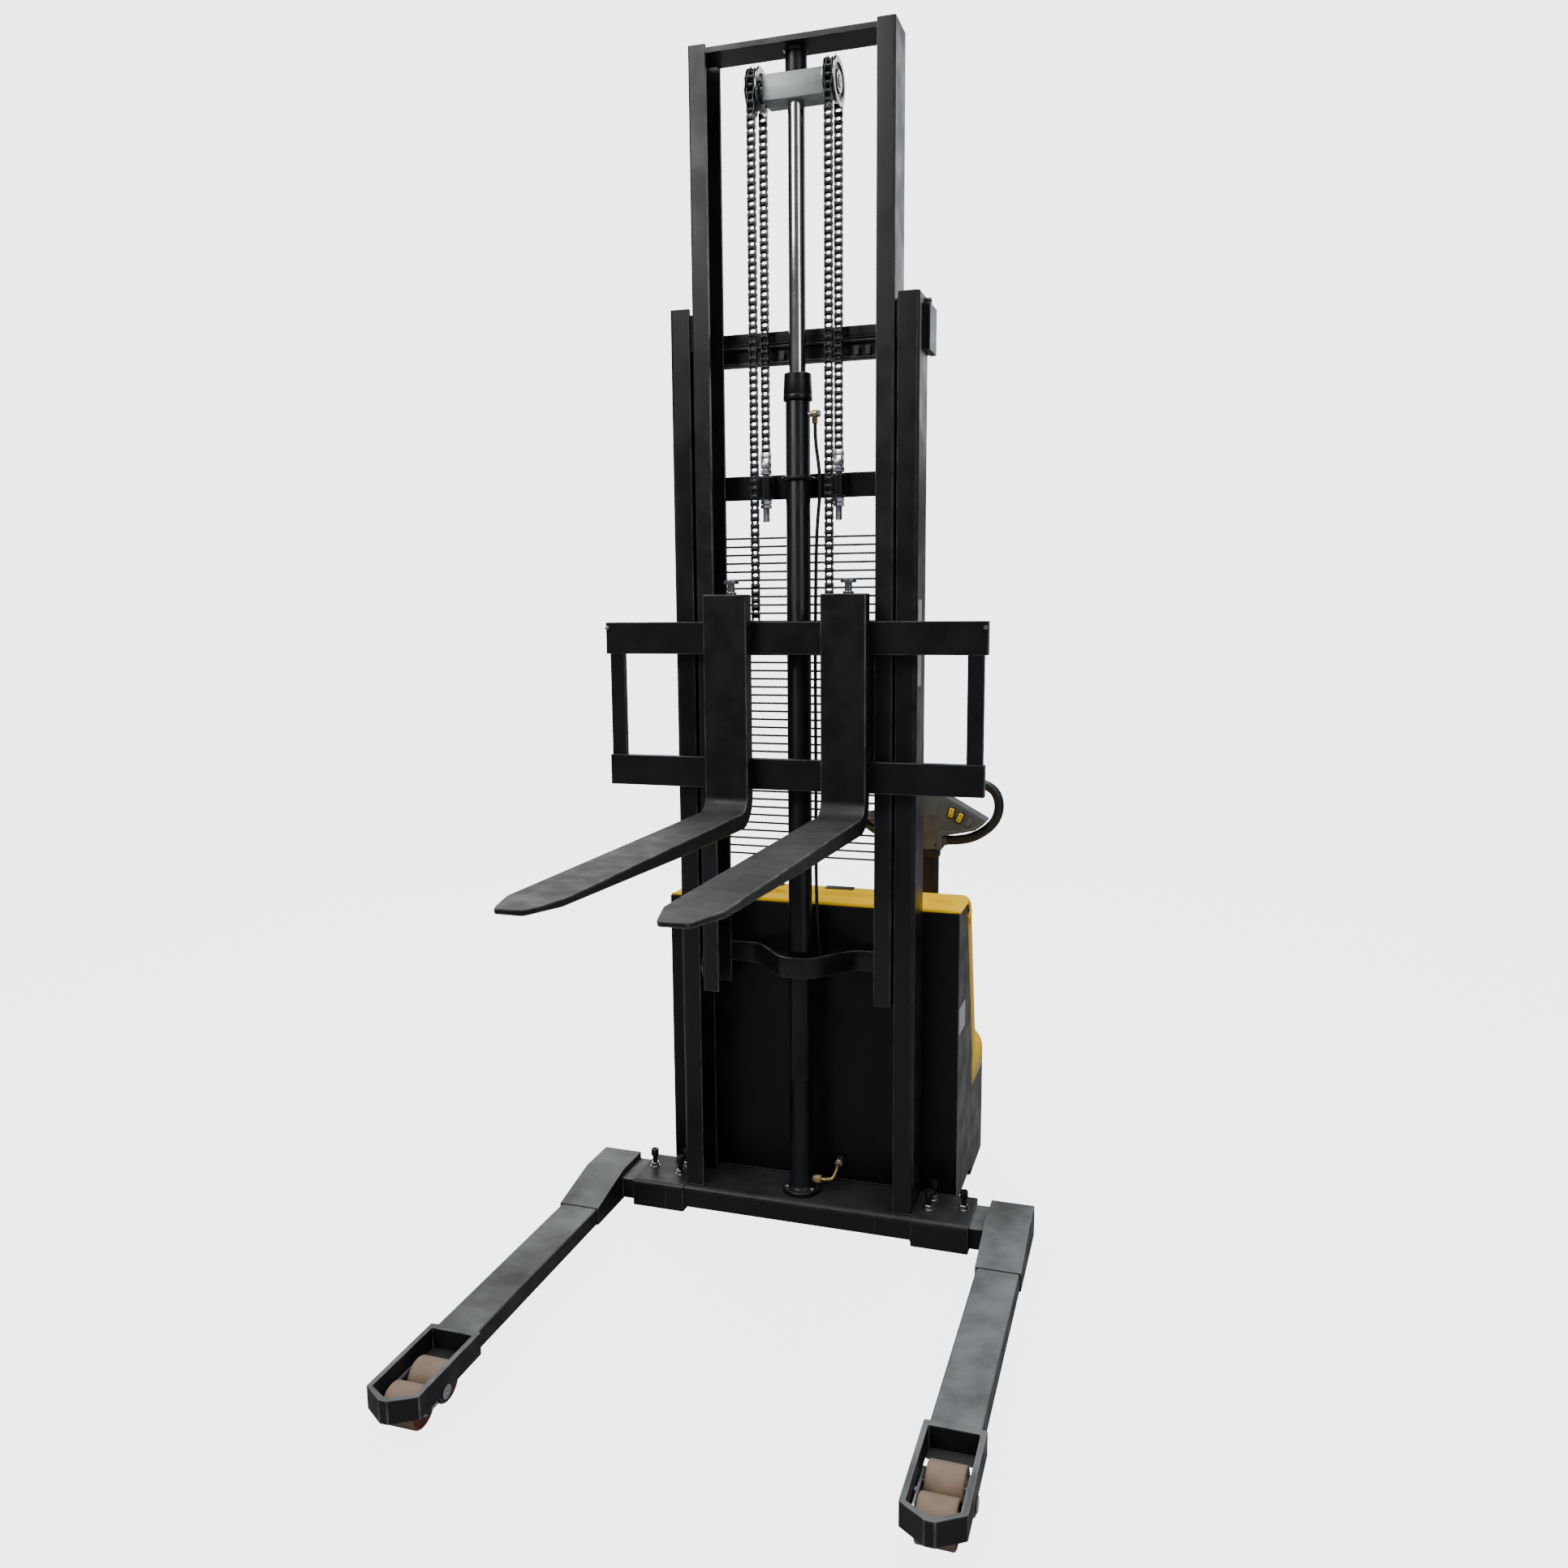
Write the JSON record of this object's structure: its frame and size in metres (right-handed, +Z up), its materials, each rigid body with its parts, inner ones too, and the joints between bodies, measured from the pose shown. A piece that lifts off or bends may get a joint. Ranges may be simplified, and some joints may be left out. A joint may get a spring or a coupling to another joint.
{
  "type": "walkie stacker",
  "caption": "Straddle-leg walkie stacker: a two-stage chain-lifted mast with sliding forks, adjustable legs on tandem rollers, a steered drive wheel and a tilting tiller.",
  "frame": {"origin": "on the floor, at the middle of the bounding box's base", "axes": "+Z up, the forks point to -Y, the driver stands at +Y, +X is to the right seen from the forks' end"},
  "size_m": [1.1, 1.652, 2.659],
  "materials": {
    "mast_paint": "semi-gloss black paint",
    "frame_paint": "semi-gloss black paint",
    "fork_paint": "satin black paint with dusty scuffs",
    "leg_paint": "satin black paint, scuffed grey on top",
    "guard_wire": "grey enamel",
    "cover_yellow": "glossy yellow",
    "rod_chrome": "polished",
    "zinc": "zinc plated",
    "crosshead_steel": "grey zinc",
    "chain_steel": "oiled",
    "roller_steel": "greased",
    "fitting_brass": "satin",
    "hose_rubber": "matt",
    "load_roller": "worn polyurethane",
    "drive_tyre": "worn polyurethane",
    "drive_casting": "painted casting",
    "battery_case": "matt",
    "head_plastic": "grained",
    "tiller_paint": "satin black paint",
    "grip_rubber": "soft matt",
    "button_yellow": "satin",
    "control_black": "satin",
    "stop_red": "gloss"
  },
  "bodies": {
    "frame": {"outer_mast_left": "mast_paint", "outer_mast_right": "mast_paint", "mast_top_tie": "mast_paint", "mast_mid_tie": "mast_paint", "base_beam": "frame_paint", "leg_clamp_bolts": "control_black", "cylinder_barrel": "frame_paint", "cylinder_gland": "frame_paint", "hydraulic_fittings": "fitting_brass", "leak_off_hose": "hose_rubber", "mid_tie_hardware": "zinc", "rear_chains": "chain_steel", "guard_mesh": "guard_wire", "battery_box": "frame_paint", "chassis": "frame_paint", "top_cover": "cover_yellow", "rear_cover": "cover_yellow", "battery": "battery_case", "power_pack": "drive_casting"},
    "inner_mast": {"inner_mast_left": "mast_paint", "inner_mast_right": "mast_paint", "inner_mast_top_bar": "mast_paint", "inner_mast_band": "mast_paint", "piston_rod": "rod_chrome", "crosshead": "crosshead_steel", "chain_wraps": "chain_steel"},
    "chain_pulleys": {"chain_pulleys": "roller_steel"},
    "mast_rollers": {"mast_rollers": "roller_steel"},
    "carriage": {"carriage_top_bar": "mast_paint", "carriage_bottom_bar": "mast_paint", "carriage_frame": "mast_paint", "front_chains": "chain_steel", "chain_fixings": "mast_paint"},
    "carriage_rollers_upper": {"carriage_rollers_upper": "roller_steel"},
    "carriage_rollers_lower": {"carriage_rollers_lower": "roller_steel"},
    "fork_left": {"fork_left": "fork_paint"},
    "fork_right": {"fork_right": "fork_paint"},
    "fork_latch_left": {"fork_latch_left": "zinc"},
    "fork_latch_right": {"fork_latch_right": "zinc"},
    "leg_left": {"leg_left": "leg_paint"},
    "leg_right": {"leg_right": "leg_paint"},
    "bogie_left": {"bogie_left": "zinc"},
    "bogie_right": {"bogie_right": "zinc"},
    "load_roller_left_front": {"load_roller_left_front": "load_roller"},
    "load_roller_left_rear": {"load_roller_left_rear": "load_roller"},
    "load_roller_right_front": {"load_roller_right_front": "load_roller"},
    "load_roller_right_rear": {"load_roller_right_rear": "load_roller"},
    "drive_unit": {"drive_unit": "drive_casting"},
    "drive_wheel": {"drive_wheel": "drive_tyre"},
    "caster_fork": {"caster_fork": "zinc"},
    "caster_wheel": {"caster_wheel": "drive_tyre"},
    "tiller": {"tiller_arm": "tiller_paint", "tiller_head": "head_plastic", "tiller_handle": "grip_rubber"},
    "throttle": {"throttle": "control_black"},
    "lift_button": {"lift_button": "button_yellow"},
    "lower_button": {"lower_button": "button_yellow"},
    "belly_switch": {"belly_switch": "control_black"},
    "key_switch": {"key_switch": "control_black"},
    "emergency_stop": {"emergency_stop": "stop_red"}
  },
  "joints": [
    {"name": "mast_lift", "type": "slide", "parent": "frame", "child": "inner_mast", "axis": [0, 0, 1], "range_m": [-0.48, 0.975], "deforming": ["rear_chains"]},
    {"name": "carriage_lift", "type": "slide", "parent": "inner_mast", "child": "carriage", "axis": [0, 0, 1], "range_m": [-0.48, 0.975], "deforming": ["front_chains"]},
    {"name": "pulley_spin", "type": "hinge", "parent": "inner_mast", "child": "chain_pulleys", "pos_m": [0, 0.226, 2.563], "axis": [1, 0, 0], "range_deg": [-1400, 700]},
    {"name": "mast_roller_spin", "type": "hinge", "parent": "inner_mast", "child": "mast_rollers", "pos_m": [0, 0.236, 0.65], "axis": [1, 0, 0], "range_deg": [-1400, 700]},
    {"name": "upper_roller_spin", "type": "hinge", "parent": "carriage", "child": "carriage_rollers_upper", "pos_m": [0, 0.234, 1.37], "axis": [1, 0, 0], "range_deg": [-700, 1415]},
    {"name": "lower_roller_spin", "type": "hinge", "parent": "carriage", "child": "carriage_rollers_lower", "pos_m": [0, 0.234, 1.142], "axis": [1, 0, 0], "range_deg": [-1415, 700]},
    {"name": "fork_shift_left", "type": "slide", "parent": "carriage", "child": "fork_left", "axis": [-1, 0, 0], "range_m": [0, 0.24]},
    {"name": "fork_latch_left_lift", "type": "slide", "parent": "fork_left", "child": "fork_latch_left", "axis": [0, 0, 1], "range_m": [0, 0.012], "stiffness_N_per_m": 1500, "springref_m": -0.01},
    {"name": "fork_shift_right", "type": "slide", "parent": "carriage", "child": "fork_right", "axis": [1, 0, 0], "range_m": [0, 0.24]},
    {"name": "fork_latch_right_lift", "type": "slide", "parent": "fork_right", "child": "fork_latch_right", "axis": [0, 0, 1], "range_m": [0, 0.012], "stiffness_N_per_m": 1500, "springref_m": -0.01},
    {"name": "leg_slide_left", "type": "slide", "parent": "frame", "child": "leg_left", "axis": [-1, 0, 0], "range_m": [-0.02, 0.17]},
    {"name": "bogie_rock_left", "type": "hinge", "parent": "leg_left", "child": "bogie_left", "pos_m": [-0.4915, -0.601, 0.05], "axis": [1, 0, 0], "range_deg": [-8, 8]},
    {"name": "load_roller_left_front_spin", "type": "hinge", "parent": "bogie_left", "child": "load_roller_left_front", "pos_m": [-0.4915, -0.641, 0.038], "axis": [1, 0, 0], "continuous": true},
    {"name": "load_roller_left_rear_spin", "type": "hinge", "parent": "bogie_left", "child": "load_roller_left_rear", "pos_m": [-0.4915, -0.561, 0.038], "axis": [1, 0, 0], "continuous": true},
    {"name": "leg_slide_right", "type": "slide", "parent": "frame", "child": "leg_right", "axis": [1, 0, 0], "range_m": [-0.02, 0.17]},
    {"name": "bogie_rock_right", "type": "hinge", "parent": "leg_right", "child": "bogie_right", "pos_m": [0.4915, -0.601, 0.05], "axis": [1, 0, 0], "range_deg": [-8, 8]},
    {"name": "load_roller_right_front_spin", "type": "hinge", "parent": "bogie_right", "child": "load_roller_right_front", "pos_m": [0.4915, -0.641, 0.038], "axis": [1, 0, 0], "continuous": true},
    {"name": "load_roller_right_rear_spin", "type": "hinge", "parent": "bogie_right", "child": "load_roller_right_rear", "pos_m": [0.4915, -0.561, 0.038], "axis": [1, 0, 0], "continuous": true},
    {"name": "steer", "type": "hinge", "parent": "frame", "child": "drive_unit", "pos_m": [0.205, 0.686, 0.24], "axis": [0, 0, -1], "range_deg": [-90, 90]},
    {"name": "drive_wheel_spin", "type": "hinge", "parent": "drive_unit", "child": "drive_wheel", "pos_m": [0.205, 0.686, 0.105], "axis": [1, 0, 0], "continuous": true},
    {"name": "tiller_tilt", "type": "hinge", "parent": "drive_unit", "child": "tiller", "pos_m": [0.205, 0.686, 0.43], "axis": [-1, 0, 0], "range_deg": [0, 85], "stiffness_Nm_per_rad": 32, "springref_deg": -20.05},
    {"name": "caster_swivel", "type": "hinge", "parent": "frame", "child": "caster_fork", "pos_m": [-0.205, 0.686, 0.24], "axis": [0, 0, 1], "continuous": true},
    {"name": "caster_wheel_spin", "type": "hinge", "parent": "caster_fork", "child": "caster_wheel", "pos_m": [-0.205, 0.721, 0.06], "axis": [1, 0, 0], "continuous": true},
    {"name": "throttle_turn", "type": "hinge", "parent": "tiller", "child": "throttle", "pos_m": [0.205, 0.726, 1], "axis": [1, 0, 0], "range_deg": [-32, 32], "stiffness_Nm_per_rad": 0.8},
    {"name": "lift_button_press", "type": "slide", "parent": "tiller", "child": "lift_button", "axis": [0, 1, 0], "range_m": [0, 0.003], "stiffness_N_per_m": 900, "springref_m": -0.002},
    {"name": "lower_button_press", "type": "slide", "parent": "tiller", "child": "lower_button", "axis": [0, 1, 0], "range_m": [0, 0.003], "stiffness_N_per_m": 900, "springref_m": -0.002},
    {"name": "belly_switch_press", "type": "slide", "parent": "tiller", "child": "belly_switch", "axis": [0, 0, -1], "range_m": [0, 0.006], "stiffness_N_per_m": 1200, "springref_m": -0.004},
    {"name": "key_turn", "type": "hinge", "parent": "frame", "child": "key_switch", "pos_m": [-0.125, 0.456, 0.8], "axis": [0, 0, -1], "range_deg": [0, 60]},
    {"name": "emergency_stop_push", "type": "slide", "parent": "frame", "child": "emergency_stop", "axis": [0, 0, -1], "range_m": [0, 0.004]}
  ],
  "couplings": [
    {"joint": "carriage_lift", "follows": "mast_lift", "ratio": 1},
    {"joint": "pulley_spin", "follows": "mast_lift", "rad_per_m": -25},
    {"joint": "mast_roller_spin", "follows": "mast_lift", "rad_per_m": -24.63},
    {"joint": "upper_roller_spin", "follows": "mast_lift", "rad_per_m": 25.25},
    {"joint": "lower_roller_spin", "follows": "mast_lift", "rad_per_m": -25.25}
  ]
}
